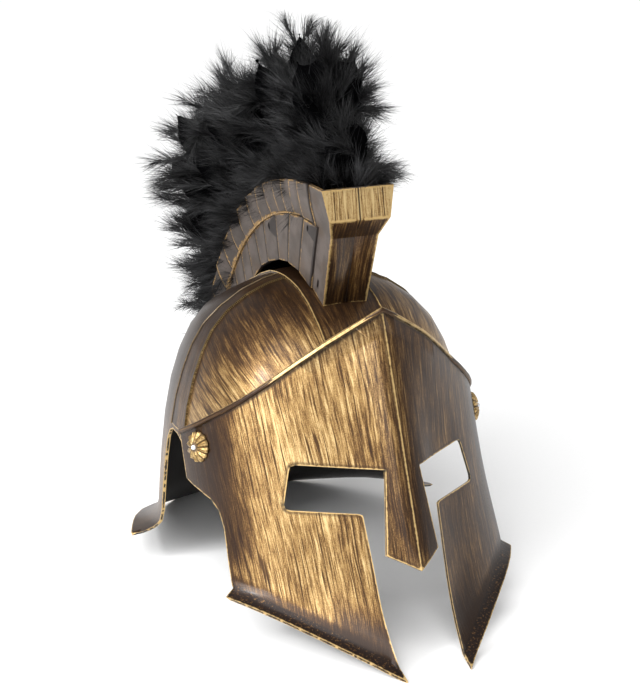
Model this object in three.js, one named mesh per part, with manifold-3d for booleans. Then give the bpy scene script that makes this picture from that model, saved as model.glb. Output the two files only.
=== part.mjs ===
// A costume helmet in the Greek style: a skull with a flared neck guard, a
// separate keeled visor with a T-shaped face opening, a hollow arched crest in
// two halves, a rosette at each ear and a feather plume.
// Millimetres, +Z up, the face looks towards -Y. It stands on the two cheek
// tips and the back of the neck guard.

import * as THREE from 'three';
import { mergeVertices } from 'three/addons/utils/BufferGeometryUtils.js';
import Module from 'manifold-3d';

// ---------------------------------------------------------------- dimensions

const WALL = 2.3;                 // shell thickness of skull and visor
const GAP = 0.35;                 // air left between neighbouring pieces

const GROUND = 3.9;               // level at which the feet are cut flat

// Skull: level rings from crown to nape. z height, front and back of the ring,
// half width and the y at which the ring is widest.
const CROWN = [0, 38, 218];
const SKULL_RINGS = [
  { z: 216.6, front: 18, back: 58, half: 22, wide: 37 },
  { z: 213.6, front: 6, back: 69, half: 36, wide: 36 },
  { z: 207.5, front: -8, back: 84, half: 51, wide: 35 },
  { z: 198, front: -23, back: 104, half: 65, wide: 33 },
  { z: 186, front: -38, back: 128, half: 76, wide: 32 },
  { z: 172, front: -52, back: 145, half: 83, wide: 32 },
  { z: 155, front: -64, back: 156, half: 89, wide: 35 },
  { z: 135, front: -72, back: 163, half: 94, wide: 38 },
  { z: 110, front: -76, back: 168, half: 97.5, wide: 43 },
  { z: 85, front: -76, back: 169, half: 99.5, wide: 48 },
  { z: 62, front: -76, back: 168, half: 101, wide: 52 },
  { z: 45, front: -76, back: 167, half: 102, wide: 54 },
];
const SKULL_SQUARENESS = 2.15;    // 2 is an ellipse
const SKULL_STEPS = 56;           // points round a ring
// Neck guard: how far each flare ring has moved out and down to the rim.
const FLARE_RINGS = [
  { out: 0.12, down: 0.3 },
  { out: 0.42, down: 0.6 },
  { out: 0.74, down: 0.85 },
  { out: 1.00, down: 1.00 },
];
// Rim of the neck guard from the centre of the back to the front corner.
const RIM = [
  { x: 0, y: 207, z: 5.4 },
  { x: 27, y: 205, z: 5.4 },
  { x: 49, y: 197, z: 5.8 },
  { x: 69, y: 182, z: 9.6 },
  { x: 88, y: 158, z: 16.6 },
  { x: 103, y: 132, z: 22.4 },
  { x: 118, y: 95, z: 27.2 },
  { x: 120, y: 60, z: 29 },
];
// Edge of the skull seen from the side: brow, temple leg, ear arch, guard.
const SKULL_EDGE = [
  { y: -60, z: 136 }, { y: -32, z: 116 }, { y: -10, z: 100 }, { y: 18, z: 92 },
  { y: 25, z: 95 }, { y: 31, z: 103 }, { y: 40, z: 109 }, { y: 51, z: 112 },
  { y: 61, z: 112 }, { y: 68, z: 109 }, { y: 73, z: 102 }, { y: 75.5, z: 90 },
  { y: 77, z: 68 }, { y: 78, z: 47 }, { y: 81, z: 36 }, { y: 87, z: 29 },
  { y: 93, z: 24 },
];

// Visor: a keeled plate. Its ridge runs from the peak down to the nose tip.
const PEAK = [0, -64.2, 217.6];
const NOSE_TIP = [0, -125.2, 64.4];
// Half section across the ridge: x, depth behind the ridge near the peak and
// depth lower down, where the plate is a plainer V.
const VISOR_SECTION = [
  { x: 0, high: 0, low: 0 },
  { x: 8, high: 2.6, low: 3.2 },
  { x: 17, high: 7, low: 8.6 },
  { x: 26, high: 12, low: 17.2 },
  { x: 35, high: 17.6, low: 24.1 },
  { x: 43, high: 24, low: 29.7 },
  { x: 50, high: 30, low: 34.5 },
  { x: 58, high: 37.5, low: 40 },
  { x: 66, high: 45.5, low: 46.2 },
  { x: 74, high: 53.4, low: 53.6 },
  { x: 81, high: 61.3, low: 61 },
  { x: 88, high: 70.8, low: 69.8 },
  { x: 94, high: 80.6, low: 79.6 },
  { x: 98, high: 88.8, low: 88 },
  { x: 101, high: 97, low: 96.5 },
  { x: 103.2, high: 107, low: 107 },
  { x: 104.6, high: 117, low: 117 },
];
// Where the plate starts, measured down the ridge, against x.
const VISOR_TOP = [
  { x: 0, s: 0 }, { x: 17, s: 7.8 }, { x: 35, s: 16.6 }, { x: 50, s: 25.2 },
  { x: 66, s: 35 }, { x: 81, s: 43.2 }, { x: 94, s: 49.4 }, { x: 104.6, s: 55 },
];
const HEM_AT_TIP = { x: 27, s: 217.2 };   // crease of the hem at the front
const HEM_SLOPE = -0.847;                 // its climb towards the back
const HEM_FLANGE = { out: 6.2, down: 5.2 };
const CURL_LENGTH = 45;                   // the cheeks curl forward over this
const CURL = { front: 8, back: 3.4 };
const LOW_WIDENING = 3.6;                 // the hem stands wider than the top
// T-shaped opening, right half: x and distance down the ridge.
const FACE_OPENING = [
  { x: 0, s: 164.9 }, { x: 17.9, s: 152.7 }, { x: 11.9, s: 99.6 },
  { x: 57.5, s: 88.2 }, { x: 60.4, s: 88.8 }, { x: 61.6, s: 91.5 },
  { x: 66.6, s: 111.8 }, { x: 66.2, s: 114.6 }, { x: 64, s: 116 },
  { x: 28.5, s: 124.4 }, { x: 26.6, s: 125.6 }, { x: 26.4, s: 127.6 },
  { x: 25.2, s: 158 }, { x: 24.4, s: 187 }, { x: 23.4, s: 210 },
  { x: 21.6, s: 240 }, { x: 21.4, s: 270 },
];
// Back edge of the visor: depth and distance down the ridge.
const VISOR_BACK = [
  { depth: 140, s: 86.5 }, { depth: 116.4, s: 86.5 }, { depth: 111, s: 90 },
  { depth: 99, s: 96.5 }, { depth: 90, s: 102.5 }, { depth: 84.5, s: 110 },
  { depth: 81.6, s: 121 }, { depth: 80, s: 140 }, { depth: 78, s: 158 },
  { depth: 74, s: 170 }, { depth: 74, s: 290 }, { depth: 140, s: 290 },
];
const RIM_BEAD = 1.5;             // radius of the rolled top edge

// Crest: drawn in polar form about an axis along X. Angles run from 0 at the
// back, over the top at 90, to the front block.
const CREST_AXIS = { y: 30, z: 113 };
const CREST_ANGLES = { back: -6, front: 111 };
const CREST_PROFILE = [
  { angle: -6, crease: 137, top: 148.5 },
  { angle: 10, crease: 137.5, top: 147.5 },
  { angle: 30, crease: 138, top: 147.5 },
  { angle: 45, crease: 139, top: 151 },
  { angle: 60, crease: 141, top: 157 },
  { angle: 75, crease: 144.5, top: 164 },
  { angle: 90, crease: 148, top: 171.5 },
  { angle: 100, crease: 150.2, top: 178 },
  { angle: 111, crease: 152, top: 184.5 },
];
const CREST_UNDERSIDE = [
  { angle: -6, r: 100 }, { angle: 44, r: 100 }, { angle: 50, r: 116.5 },
  { angle: 60, r: 115 }, { angle: 70, r: 114 }, { angle: 80, r: 113 },
  { angle: 90, r: 110 }, { angle: 100, r: 105.5 }, { angle: 106, r: 102.4 },
  { angle: 111, r: 101.3 },
];
const CREST_HALF = { foot: 15.5, crease: 16.9, shoulder: 21.4, top: 25.2 };
// Front face of the block: degrees it stands forward of a plain radial cut.
const BLOCK_FACE = [
  { r: 101.3, turn: 1.4 }, { r: 152, turn: -0.4 }, { r: 167, turn: 0.7 }, { r: 184.5, turn: -2.7 },
];
const CREST_PLANKS = 17;          // overlapping planks along each side
const PLANK_STEP = 0.9;           // how far one plank stands over the next
const CREST_WALL = 2.2;
const CREST_FRONT_WALL = 1.3;     // degrees
const TRAY_DEPTH = 13;
const SEAM = 0.17;                // half of the gap between the two halves
const RIVET_SLOTS = [
  { angle: 70.9, r: 137.3 }, { angle: 98.3, r: 143.6 }, { angle: 105.9, r: 111.6 },
];
const SLOT = { half: 0.9, tall: 2.6 };

// Rosettes at the ears: where they sit on the section of the visor.
const ROSETTE = {
  radius: 11, height: 4.6, petals: 12, depth: 95.5, s: 67.2,
};
const ROSETTE_GEM = 1.9;

// Plume: a backing bar in the crest tray with rows of locks.
const BAR = { half: 11, from: 14, to: 104, rise: 0.5, below: 3.2 };
const LOCK_STATIONS = [
  { angle: 102, aim: 97, spread: 0.4, length: 56, width: 28 },
  { angle: 96, aim: 84, spread: 0.5, length: 102, width: 34 },
  { angle: 87, aim: 75, spread: 0.8, length: 109, width: 38 },
  { angle: 77, aim: 65, spread: 1, length: 108, width: 40 },
  { angle: 67, aim: 52, spread: 1, length: 112, width: 42 },
  { angle: 57, aim: 42, spread: 1, length: 128, width: 44 },
  { angle: 47, aim: 33, spread: 1, length: 120, width: 44 },
  { angle: 37, aim: 22, spread: 1, length: 94, width: 40 },
  { angle: 28, aim: 7, spread: 0.9, length: 74, width: 36 },
  { angle: 21, aim: -12, spread: 0.7, length: 62, width: 28 },
  { angle: 16, aim: -34, spread: 0.4, length: 56, width: 22 },
];
const LOCK_ROWS = [
  { x: -4, tilt: -23, share: 0.88 },
  { x: 0, tilt: 0, share: 1 },
  { x: 4, tilt: 23, share: 0.88 },
];
const LOCK_FORM = [
  { along: 0, thick: 0.2 }, { along: 0.45, thick: 1 },
  { along: 0.8, thick: 0.8 }, { along: 1, thick: 0.1 },
];
const LOCK_SIDES = 5;

// ------------------------------------------------------------------- helpers

const rad = (degrees) => degrees * Math.PI / 180;
const clamp01 = (v) => Math.min(1, Math.max(0, v));
const smooth = (a, b, v) => {
  const t = clamp01((v - a) / (b - a));
  return t * t * (3 - 2 * t);
};

// Straight-line lookup in a table sorted by its key column.
function lookup(table, key, value, column) {
  const rising = table[table.length - 1][key] > table[0][key];
  const rows = rising ? table : [...table].reverse();
  if (value <= rows[0][key]) {
    return rows[0][column];
  }
  for (let i = 1; i < rows.length; i += 1) {
    const a = rows[i - 1];
    const b = rows[i];
    if (value <= b[key]) {
      return a[column] + (b[column] - a[column]) * (value - a[key]) / (b[key] - a[key]);
    }
  }
  return rows[rows.length - 1][column];
}

const wasm = await Module();
wasm.setup();

function toManifold(geometry) {
  const bare = geometry.clone();
  for (const name of Object.keys(bare.attributes)) {
    if (name !== 'position') {
      bare.deleteAttribute(name);
    }
  }
  const merged = mergeVertices(bare, 1e-4);
  return new wasm.Manifold(new wasm.Mesh({
    numProp: 3,
    vertProperties: new Float32Array(merged.attributes.position.array),
    triVerts: new Uint32Array(merged.index.array),
  }));
}

function toGeometry(solid) {
  const mesh = solid.getMesh();
  const geometry = new THREE.BufferGeometry();
  geometry.setAttribute('position', new THREE.BufferAttribute(new Float32Array(mesh.vertProperties), 3));
  geometry.setIndex(new THREE.BufferAttribute(new Uint32Array(mesh.triVerts), 1));
  geometry.computeVertexNormals();
  return geometry;
}

function meshSolid(points, triangles) {
  const geometry = new THREE.BufferGeometry();
  const flat = new Float32Array(points.flatMap((p) => [p.x, p.y, p.z]));
  geometry.setAttribute('position', new THREE.BufferAttribute(flat, 3));
  geometry.setIndex(triangles);
  const solid = toManifold(geometry);
  if (solid.volume() < 0) {
    geometry.setIndex(flipped(triangles));
    return toManifold(geometry);
  }
  return solid;
}

function flipped(triangles) {
  const out = [];
  for (let i = 0; i < triangles.length; i += 3) {
    out.push(triangles[i], triangles[i + 2], triangles[i + 1]);
  }
  return out;
}

// Solid through closed rings of equal length. Its two end rings are capped by a
// fan, or by a ladder of rungs where a ring runs up one side and down the other.
function loft(rings, ladder = false) {
  const count = rings[0].length;
  const points = rings.flat();
  const triangles = [];
  for (let i = 0; i + 1 < rings.length; i += 1) {
    for (let j = 0; j < count; j += 1) {
      const a = i * count + j;
      const b = i * count + (j + 1) % count;
      triangles.push(a, b, b + count, a, b + count, a + count);
    }
  }
  for (const [ring, first] of [[rings[0], 0], [rings[rings.length - 1], (rings.length - 1) * count]]) {
    const cap = ladder ? rungs(first, count) : fan(points, ring, first);
    triangles.push(...(first === 0 ? flipped(cap) : cap));
  }
  return meshSolid(points, triangles);
}

function fan(points, ring, first) {
  const centre = new THREE.Vector3();
  ring.forEach((p) => centre.add(p));
  points.push(centre.divideScalar(ring.length));
  const middle = points.length - 1;
  return ring.flatMap((p, j) => [middle, first + j, first + (j + 1) % ring.length]);
}

function rungs(first, count) {
  const cap = [];
  for (let k = 0; k + 1 < count / 2; k += 1) {
    const [a, b, c, d] = [k, k + 1, count - 2 - k, count - 1 - k].map((i) => first + i);
    cap.push(a, b, c, a, c, d);
  }
  return cap;
}

// Flat outline pushed through a body: outline in (u, v), placed by three axes.
function prism(outline, origin, uAxis, vAxis, from, to) {
  const shape = new THREE.Shape(outline.map(([u, v]) => new THREE.Vector2(u, v)));
  const geometry = new THREE.ExtrudeGeometry(shape, { depth: to - from, bevelEnabled: false });
  geometry.translate(0, 0, from);
  const wAxis = new THREE.Vector3().crossVectors(uAxis, vAxis);
  const place = new THREE.Matrix4().makeBasis(uAxis, vAxis, wAxis);
  place.setPosition(origin);
  geometry.applyMatrix4(place);
  return toManifold(geometry);
}

// Round rod of a few sides through a list of points.
function rod(points, radius, sides) {
  const rings = points.map((p, i) => {
    const before = points[Math.max(0, i - 1)];
    const after = points[Math.min(points.length - 1, i + 1)];
    const along = new THREE.Vector3().subVectors(after, before).normalize();
    const side = new THREE.Vector3(0, 0, 1).cross(along);
    if (side.length() < 0.1) {
      side.set(1, 0, 0);
    }
    side.normalize();
    const up = new THREE.Vector3().crossVectors(along, side);
    return Array.from({ length: sides }, (_, k) => {
      const t = 2 * Math.PI * k / sides;
      return p.clone()
        .addScaledVector(side, radius * Math.cos(t))
        .addScaledVector(up, radius * Math.sin(t));
    });
  });
  return loft(rings);
}

// Cuts a piece off flat where it stands.
function standing(solid) {
  const block = new THREE.BoxGeometry(600, 600, 100);
  block.translate(0, 0, GROUND - 50);
  return solid.subtract(toManifold(block));
}

// --------------------------------------------------------------------- visor

const peak = new THREE.Vector3(...PEAK);
const down = new THREE.Vector3(...NOSE_TIP).sub(peak).normalize();
const right = new THREE.Vector3(1, 0, 0);
const forward = new THREE.Vector3().crossVectors(right, down).normalize();
if (forward.y > 0) {
  forward.negate();
}

const hemCrease = (x) => HEM_AT_TIP.s + HEM_SLOPE * (x - HEM_AT_TIP.x);

// Point on the outer face of the visor for a section row and a distance down.
function visorPoint(row, s, side) {
  const low = smooth(20, 100, s);
  let depth = row.high + (row.low - row.high) * low;
  const toHem = hemCrease(row.x) - s;
  if (toHem < CURL_LENGTH) {
    const amount = CURL.front + (CURL.back - CURL.front) * smooth(35, 70, row.x);
    depth -= amount * Math.pow(Math.min(1, (CURL_LENGTH - toHem) / CURL_LENGTH), 2);
  }
  const x = row.x + LOW_WIDENING * smooth(90, 158, s) * Math.pow(row.x / 100, 2);
  return peak.clone()
    .addScaledVector(down, s)
    .addScaledVector(forward, -depth)
    .addScaledVector(right, side * x);
}

function sectionNormal(row, s, side) {
  const i = VISOR_SECTION.indexOf(row);
  const a = visorPoint(VISOR_SECTION[Math.max(0, i - 1)], s, side);
  const b = visorPoint(VISOR_SECTION[Math.min(VISOR_SECTION.length - 1, i + 1)], s, side);
  if (i === 0) {
    return forward.clone();
  }
  const across = new THREE.Vector3().subVectors(b, a);
  const normal = new THREE.Vector3().crossVectors(across, down).normalize();
  return normal.dot(forward) + 0.3 * side * normal.x < 0 ? normal.negate() : normal;
}

const VISOR_ROWS = [0, 0.07, 0.2, 0.34, 0.48, 0.6, 0.7, 0.78, 0.86, 0.93, 1];

function visorColumn(row, side) {
  const top = lookup(VISOR_TOP, 'x', row.x, 's');
  const bottom = hemCrease(row.x);
  const column = VISOR_ROWS.map((t) => visorPoint(row, top + (bottom - top) * t, side));
  const out = sectionNormal(row, bottom, side);
  const edge = column[column.length - 1];
  column.push(edge.clone().addScaledVector(out, HEM_FLANGE.out).addScaledVector(down, HEM_FLANGE.down));
  return column;
}

// Sheet of even thickness behind a grid of outer points.
function thickSheet(grid, thickness) {
  const rows = grid.length;
  const columns = grid[0].length;
  const at = (i, j) => grid[Math.min(rows - 1, Math.max(0, i))][Math.min(columns - 1, Math.max(0, j))];
  const inner = grid.map((line, i) => line.map((p, j) => {
    const du = new THREE.Vector3().subVectors(at(i + 1, j), at(i - 1, j)).normalize();
    const dv = new THREE.Vector3().subVectors(at(i, j + 1), at(i, j - 1)).normalize();
    const normal = new THREE.Vector3().crossVectors(du, dv).normalize();
    return p.clone().addScaledVector(normal, thickness);
  }));
  const points = [...grid.flat(), ...inner.flat()];
  const half = rows * columns;
  const id = (i, j) => i * columns + j;
  const triangles = [];
  for (let i = 0; i + 1 < rows; i += 1) {
    for (let j = 0; j + 1 < columns; j += 1) {
      const a = id(i, j);
      const b = id(i + 1, j);
      const c = id(i + 1, j + 1);
      const d = id(i, j + 1);
      triangles.push(a, b, c, a, c, d);
      triangles.push(a + half, c + half, b + half, a + half, d + half, c + half);
    }
  }
  const border = [];
  for (let i = 0; i + 1 < rows; i += 1) {
    border.push([id(i + 1, 0), id(i, 0)], [id(i, columns - 1), id(i + 1, columns - 1)]);
  }
  for (let j = 0; j + 1 < columns; j += 1) {
    border.push([id(0, j), id(0, j + 1)], [id(rows - 1, j + 1), id(rows - 1, j)]);
  }
  for (const [a, b] of border) {
    triangles.push(a, b, b + half, a, b + half, a + half);
  }
  return meshSolid(points, triangles);
}

function makeVisor() {
  const leftToRight = [
    ...[...VISOR_SECTION].reverse().map((row) => visorColumn(row, -1)),
    ...VISOR_SECTION.slice(1).map((row) => visorColumn(row, 1)),
  ];
  // inward normals need the grid to run the right way round
  let solid = thickSheet(leftToRight, WALL);
  const mirrored = FACE_OPENING.slice(1).reverse().map(({ x, s }) => [-x, s]);
  const opening = [...FACE_OPENING.map(({ x, s }) => [x, s]), ...mirrored];
  solid = solid.subtract(prism(opening, peak, right, down, -110, 110));
  const back = VISOR_BACK.map(({ depth, s }) => [-depth, s]);
  solid = solid.subtract(prism(back, peak, forward, down, -150, 150));
  const edge = [
    ...[...VISOR_SECTION].reverse().map((row) => visorColumn(row, -1)[0]),
    ...VISOR_SECTION.slice(1).map((row) => visorColumn(row, 1)[0]),
  ];
  return solid.add(rod(edge, RIM_BEAD, 6));
}

// --------------------------------------------------------------------- skull

// How far forward (smallest y) a point of the skull may come at a given x and
// z without touching the inside of the visor.
function behindVisor(x, z) {
  const spread = Math.abs(x);
  let s = (peak.z - z) / -down.z;
  let depth = 0;
  for (let k = 0; k < 4; k += 1) {
    const low = smooth(20, 100, s);
    const high = lookup(VISOR_SECTION, 'x', spread, 'high');
    depth = high + (lookup(VISOR_SECTION, 'x', spread, 'low') - high) * low;
    s = (peak.z - depth * forward.z - z) / -down.z;
  }
  const start = lookup(VISOR_TOP, 'x', spread, 's');
  const clear = s < start - 6 ? -60 : (WALL + RIM_BEAD + 0.8) * 1.5;
  return peak.y + down.y * s - forward.y * depth + clear;
}

function ringPoint(ring, angle, grow) {
  const c = Math.sin(angle);
  const d = -Math.cos(angle);
  const reach = (d < 0 ? ring.wide - ring.front : ring.back - ring.wide) + grow;
  const n = SKULL_SQUARENESS;
  const scale = Math.pow(Math.pow(Math.abs(c), n) + Math.pow(Math.abs(d), n), -1 / n);
  const p = new THREE.Vector3((ring.half + grow) * c * scale, ring.wide + reach * d * scale, ring.z);
  if (d < 0.2 && grow <= GAP) {
    p.y = Math.max(p.y, behindVisor(p.x, p.z));
  }
  return p;
}

function rimPoint(angle) {
  const around = Math.abs(Math.PI - angle) / Math.PI;
  const t = clamp01(around / 0.62) * (RIM.length - 1);
  const i = Math.min(RIM.length - 2, Math.floor(t));
  const f = t - i;
  const mix = (key) => RIM[i][key] + (RIM[i + 1][key] - RIM[i][key]) * f;
  const front = smooth(0.62, 1, around);
  const x = mix('x') * (1 - front * front);
  return new THREE.Vector3(angle > Math.PI ? -x : x, mix('y') - 150 * front, mix('z'));
}

function skullRings(grow) {
  const angles = Array.from({ length: SKULL_STEPS }, (_, k) => 2 * Math.PI * k / SKULL_STEPS);
  const rings = SKULL_RINGS.map((ring) => angles.map((a) => ringPoint(ring, a, grow)));
  const last = rings[rings.length - 1];
  for (const flare of FLARE_RINGS) {
    rings.push(angles.map((a, k) => {
      const rim = rimPoint(a);
      const from = last[k];
      return new THREE.Vector3(
        from.x + (rim.x - from.x) * flare.out,
        from.y + (rim.y - from.y) * flare.out,
        from.z + (rim.z - from.z) * flare.down,
      );
    }));
  }
  return rings;
}

// Closed cup: outer face, inner face and the rim between them.
function cup(outer, thickness, crown) {
  const rows = outer.length;
  const count = outer[0].length;
  const at = (i, j) => outer[i][(j + count) % count];
  const inner = outer.map((ring, i) => ring.map((p, j) => {
    const above = i === 0 ? crown : at(i - 1, j);
    const below = i === rows - 1 ? at(i, j) : at(i + 1, j);
    const fall = new THREE.Vector3().subVectors(below, above).normalize();
    const round = new THREE.Vector3().subVectors(at(i, j + 1), at(i, j - 1)).normalize();
    const normal = new THREE.Vector3().crossVectors(fall, round).normalize();
    const outward = new THREE.Vector3(p.x, p.y - 45, (p.z - 60) * 0.6);
    return p.clone().addScaledVector(normal, normal.dot(outward) > 0 ? -thickness : thickness);
  }));
  const points = [...outer.flat(), ...inner.flat()];
  const half = rows * count;
  points.push(crown.clone(), crown.clone().setZ(crown.z - thickness));
  const triangles = [];
  for (let i = 0; i + 1 < rows; i += 1) {
    for (let j = 0; j < count; j += 1) {
      const a = i * count + j;
      const b = i * count + (j + 1) % count;
      triangles.push(a, a + count, b + count, a, b + count, b);
      triangles.push(a + half, b + count + half, a + count + half, a + half, b + half, b + count + half);
    }
  }
  for (let j = 0; j < count; j += 1) {
    const next = (j + 1) % count;
    const low = (rows - 1) * count;
    triangles.push(2 * half, j, next, 2 * half + 1, half + next, half + j);
    triangles.push(low + j, low + j + half, low + next + half, low + j, low + next + half, low + next);
  }
  return meshSolid(points, triangles);
}

function makeSkull() {
  const crown = new THREE.Vector3(...CROWN);
  const shell = cup(skullRings(0), WALL, crown);
  const outline = [
    [-300, -80], [-300, SKULL_EDGE[0].z + 4],
    ...SKULL_EDGE.map(({ y, z }) => [y, z]),
    [SKULL_EDGE[SKULL_EDGE.length - 1].y + 3, -80],
  ];
  const yAxis = new THREE.Vector3(0, 1, 0);
  const zAxis = new THREE.Vector3(0, 0, 1);
  return shell.subtract(prism(outline, new THREE.Vector3(), yAxis, zAxis, -160, 160));
}

// The skull with a little air round it, filled in, for shaping the crest foot.
function skullClearance() {
  const rings = skullRings(GAP).slice(0, SKULL_RINGS.length);
  return loft([Array(SKULL_STEPS).fill(0).map(() => new THREE.Vector3(...CROWN).setZ(CROWN[2] + GAP))
    .map((p, k) => p.add(new THREE.Vector3(Math.sin(k / SKULL_STEPS * 6.2832), -Math.cos(k / SKULL_STEPS * 6.2832), 0))),
  ...rings]);
}

// --------------------------------------------------------------------- crest

function polar(x, angle, r) {
  const t = rad(angle);
  return new THREE.Vector3(x, CREST_AXIS.y + r * Math.cos(t), CREST_AXIS.z + r * Math.sin(t));
}

// Half section of the crest at an angle: inset trims it to the hollow inside.
function crestSection(angle, step, from, to, inset, seam) {
  const crease = lookup(CREST_PROFILE, 'angle', angle, 'crease');
  const top = lookup(CREST_PROFILE, 'angle', angle, 'top');
  const shoulder = crease + (top - crease) * 0.46;
  const half = (r) => {
    if (r <= crease) {
      return CREST_HALF.foot + (CREST_HALF.crease - CREST_HALF.foot) * clamp01((r - 103) / (crease - 103));
    }
    if (r <= shoulder) {
      return CREST_HALF.crease + (CREST_HALF.shoulder - CREST_HALF.crease) * (r - crease) / (shoulder - crease);
    }
    return CREST_HALF.shoulder + (CREST_HALF.top - CREST_HALF.shoulder) * (r - shoulder) / (top - shoulder);
  };
  const low = from(angle);
  const high = to(angle, top);
  const middles = [crease, shoulder].map((r) => Math.min(high - 0.4, Math.max(low + 0.2, r)));
  const levels = [low, middles[0], Math.max(middles[0] + 0.1, middles[1]), high];
  const turn = (r) => (angle > CREST_ANGLES.front - 2 ? lookup(BLOCK_FACE, 'r', r, 'turn') : 0);
  const side = levels.map((r, k) => (
    polar(half(Math.min(r, top)) - inset + (k < 3 ? step : step * 0.6), angle + turn(r), r)));
  const inside = levels.map((r) => polar(seam, angle + turn(r), r)).reverse();
  return [...side, ...inside];
}

// Angles of the stations: two at each plank edge, so that the planks step.
function plankStations() {
  const stations = [];
  const { back, front } = CREST_ANGLES;
  const end = front - 9;
  for (let k = 0; k < CREST_PLANKS; k += 1) {
    const a = back + (end - back) * k / CREST_PLANKS;
    const b = back + (end - back) * (k + 1) / CREST_PLANKS;
    stations.push({ angle: a + 0.12, step: 0 }, { angle: b - 0.12, step: PLANK_STEP });
  }
  stations.push({ angle: end + 0.12, step: 0 }, { angle: front, step: 0 });
  return stations;
}

const underside = (angle) => lookup(CREST_UNDERSIDE, 'angle', angle, 'r');
const trayFloor = (angle) => lookup(CREST_PROFILE, 'angle', angle, 'top') - TRAY_DEPTH;
const coarse = (from, to, count) => Array.from({ length: count + 1 }, (_, k) => from + (to - from) * k / count);

function makeCrestHalf(clearance) {
  const { back, front } = CREST_ANGLES;
  const top = (angle, r) => r;
  let solid = loft(plankStations().map(({ angle, step }) => (
    crestSection(angle, step, underside, top, 0, SEAM))), true);
  const inner = coarse(back + 2, front - CREST_FRONT_WALL, 16);
  const hollow = loft(inner.map((a) => (
    crestSection(a, 0, (t) => underside(t) - 4, (t, r) => r - TRAY_DEPTH - 2, CREST_WALL, -1))), true);
  const tray = loft(inner.map((a) => (
    crestSection(a, 0, trayFloor, (t, r) => r + 3, CREST_WALL, -1))), true);
  solid = solid.subtract(hollow).subtract(tray).subtract(clearance);
  for (const { angle, r } of RIVET_SLOTS) {
    const t = rad(angle);
    const out = new THREE.Vector3(0, Math.cos(t), Math.sin(t));
    const along = new THREE.Vector3(0, -Math.sin(t), Math.cos(t));
    const outline = [
      [-SLOT.half, -SLOT.tall], [SLOT.half, -SLOT.tall], [SLOT.half, SLOT.tall], [-SLOT.half, SLOT.tall],
    ];
    const centre = polar(0, angle, r);
    solid = solid.subtract(prism(outline, centre, along, out, -40, 40));
  }
  return solid;
}

// ------------------------------------------------------------------ rosettes

function makeRosette() {
  const around = ROSETTE.petals * 3;
  const levels = [
    { share: 1, z: 0 }, { share: 1, z: 0.9 }, { share: 0.72, z: 2.6 }, { share: 0.34, z: 3.9 },
  ];
  const rings = levels.map(({ share, z }, i) => Array.from({ length: around }, (_, k) => {
    const t = 2 * Math.PI * k / around;
    const lobe = 0.5 + 0.5 * Math.cos(ROSETTE.petals * t);
    const edge = i < 2 ? 0.9 + 0.1 * Math.sqrt(lobe) : 1;
    const r = ROSETTE.radius * share * edge;
    const lift = i === 2 ? 0.7 * lobe - 0.35 : 0;
    return new THREE.Vector3(r * Math.cos(t), r * Math.sin(t), z + lift);
  }));
  const flower = loft(rings);
  const gem = new THREE.SphereGeometry(ROSETTE_GEM, 8, 5);
  gem.translate(0, 0, ROSETTE.height - 1.1);
  return flower.add(toManifold(gem));
}

function placeRosette(mesh, side) {
  const rows = VISOR_SECTION.filter(({ high }) => high <= ROSETTE.depth);
  const row = rows[rows.length - 1];
  const next = VISOR_SECTION[rows.length];
  const t = (ROSETTE.depth - row.high) / (next.high - row.high);
  const spot = visorPoint(row, ROSETTE.s, side).lerp(visorPoint(next, ROSETTE.s, side), t);
  const across = new THREE.Vector3().subVectors(visorPoint(next, ROSETTE.s, side), visorPoint(row, ROSETTE.s, side));
  const normal = new THREE.Vector3().crossVectors(across, down).normalize();
  if (normal.x * side < 0) {
    normal.negate();
  }
  mesh.position.copy(spot.addScaledVector(normal, GAP));
  mesh.quaternion.setFromUnitVectors(new THREE.Vector3(0, 0, 1), normal);
}

// --------------------------------------------------------------------- plume

function lockSolid(station, row) {
  const top = lookup(CREST_PROFILE, 'angle', station.angle, 'top');
  const start = polar(row.x, station.angle, top - BAR.below - 3);
  const t = rad(station.aim);
  const b = rad(row.tilt * station.spread);
  const out = new THREE.Vector3(Math.sin(b), Math.cos(b) * Math.cos(t), Math.cos(b) * Math.sin(t));
  const side = new THREE.Vector3(Math.cos(b), -Math.sin(b) * Math.cos(t), -Math.sin(b) * Math.sin(t));
  const other = new THREE.Vector3().crossVectors(out, side);
  const length = station.length * row.share;
  const rings = LOCK_FORM.map(({ along, thick }) => Array.from({ length: LOCK_SIDES }, (_, k) => {
    const a = Math.PI / 2 + 2 * Math.PI * k / LOCK_SIDES;
    return start.clone()
      .addScaledVector(out, length * along)
      .addScaledVector(side, station.width * 0.5 * thick * Math.cos(a))
      .addScaledVector(other, station.width * 0.5 * thick * Math.sin(a));
  }));
  return loft(rings);
}

function makePlume(clearance) {
  const bar = loft(coarse(BAR.from, BAR.to, 20).map((angle) => {
    const top = lookup(CREST_PROFILE, 'angle', angle, 'top');
    const low = top - TRAY_DEPTH + BAR.rise;
    const high = top - BAR.below;
    return [
      polar(-BAR.half, angle, low), polar(BAR.half, angle, low),
      polar(BAR.half, angle, high), polar(-BAR.half, angle, high),
    ];
  }));
  let plume = bar;
  for (const station of LOCK_STATIONS) {
    for (const row of LOCK_ROWS) {
      plume = plume.add(lockSolid(station, row));
    }
  }
  return plume.subtract(clearance);
}

// ------------------------------------------------------------------ assembly

const material = (color, roughness, metalness) => new THREE.MeshStandardMaterial({ color, roughness, metalness });
const bronze = material(0x8c6c3a, 0.45, 0.7);
const crestGrey = material(0x6a6058, 0.6, 0.3);
const gilt = material(0xb8924e, 0.4, 0.8);
const feather = material(0x141416, 0.95, 0);

function mesh(name, geometry, look) {
  const node = new THREE.Mesh(geometry, look);
  node.name = name;
  return node;
}

function mirrorX(solid) {
  return solid.mirror([1, 0, 0]);
}

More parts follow.
